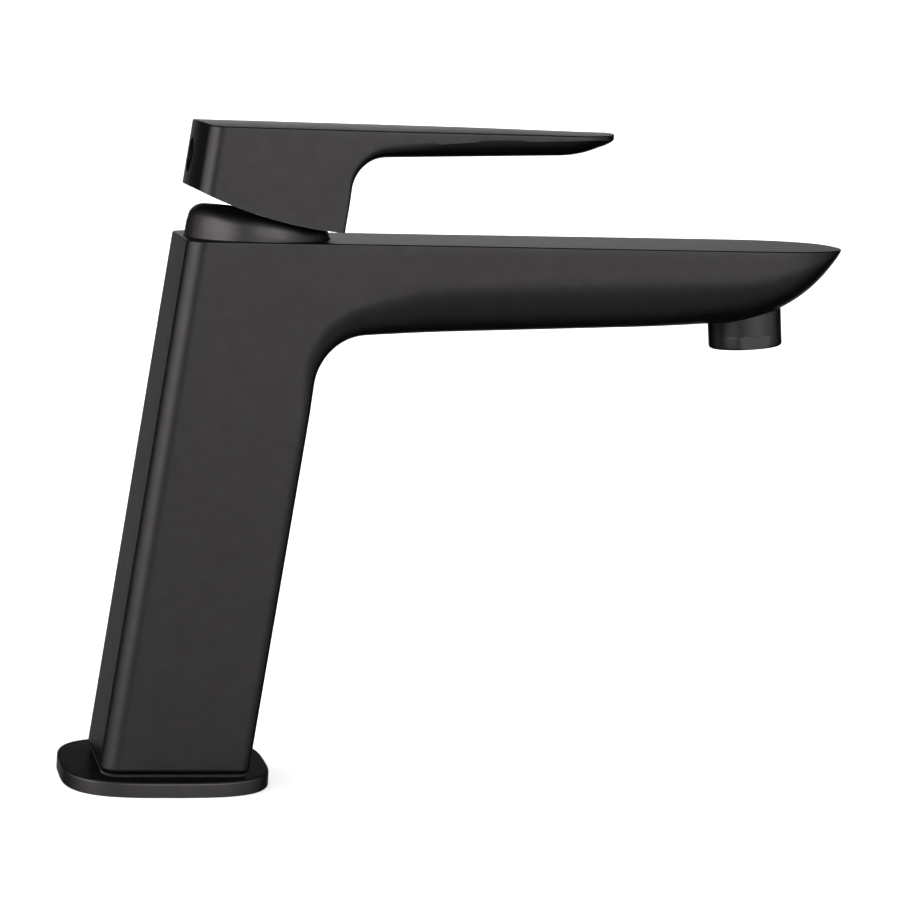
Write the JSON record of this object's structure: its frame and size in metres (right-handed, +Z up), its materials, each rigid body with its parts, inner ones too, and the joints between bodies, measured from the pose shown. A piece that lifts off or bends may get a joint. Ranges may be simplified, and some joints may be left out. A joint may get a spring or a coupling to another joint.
{
  "type": "bathroom mixer faucet",
  "caption": "Single-lever basin mixer: leaning rounded-square column, flat boat-nosed spout with aerator, domed collar and long paddle lever over a disc cartridge.",
  "frame": {"origin": "centre of the tail hole on the base plate's underside, on the deck", "axes": "+Z up from the deck, +X out along the spout, +Y to the left seen from behind; mirror plane is XZ"},
  "size_m": [0.2384, 0.0592, 0.2025],
  "materials": {
    "black_coat": "satin black coated casting",
    "foot_seal": "matte rubber",
    "deck_seal": "matte rubber",
    "cap_o_ring": "matte rubber",
    "cartridge_nut": "machined",
    "cartridge_housing": "moulded acetal",
    "cartridge_base": "moulded acetal",
    "port_seals": "matte rubber",
    "fixed_disc": "polished ceramic",
    "moving_disc": "polished ceramic",
    "disc_carrier": "moulded acetal",
    "rotor": "moulded acetal",
    "limit_ring": "moulded acetal",
    "pivot_pin": "ground",
    "lever_stem": "machined",
    "grub_screw": "black oxide",
    "handle_plug": "satin",
    "aerator_insert": "moulded",
    "aerator_screen": "woven look",
    "aerator_washer": "matte rubber"
  },
  "bodies": {
    "mixer_body": {"body": "black_coat", "base_plate": "black_coat", "foot_seal": "foot_seal", "deck_seal": "deck_seal", "dome_cap": "black_coat", "cap_o_ring": "cap_o_ring", "cartridge_nut": "cartridge_nut", "cartridge_housing": "cartridge_housing", "cartridge_base": "cartridge_base", "port_seals": "port_seals", "fixed_disc": "fixed_disc", "aerator_housing": "black_coat", "aerator_insert": "aerator_insert", "aerator_screen": "aerator_screen", "aerator_washer": "aerator_washer"},
    "cartridge_rotor": {"rotor": "rotor", "pivot_pin": "pivot_pin", "limit_ring": "limit_ring"},
    "lever": {"handle": "black_coat", "lever_stem": "lever_stem", "grub_screw": "grub_screw", "handle_plug": "handle_plug"},
    "disc_slide_block": {"moving_disc": "moving_disc", "disc_carrier": "disc_carrier"}
  },
  "joints": [
    {"name": "temperature_swivel", "type": "hinge", "parent": "mixer_body", "child": "cartridge_rotor", "pos_m": [0.0223, 0, 0.1664], "axis": [0.1245, 0, 0.9922], "range_deg": [-50, 50]},
    {"name": "flow_lift", "type": "hinge", "parent": "cartridge_rotor", "child": "lever", "pos_m": [0.02205, 0, 0.16442], "axis": [0, -1, 0], "range_deg": [0, 25]},
    {"name": "disc_slide", "type": "slide", "parent": "cartridge_rotor", "child": "disc_slide_block", "axis": [0.9922, 0, -0.1245], "range_m": [0, 0.00395]}
  ],
  "couplings": [
    {"joint": "disc_slide", "follows": "flow_lift", "m_per_rad": 0.009}
  ]
}
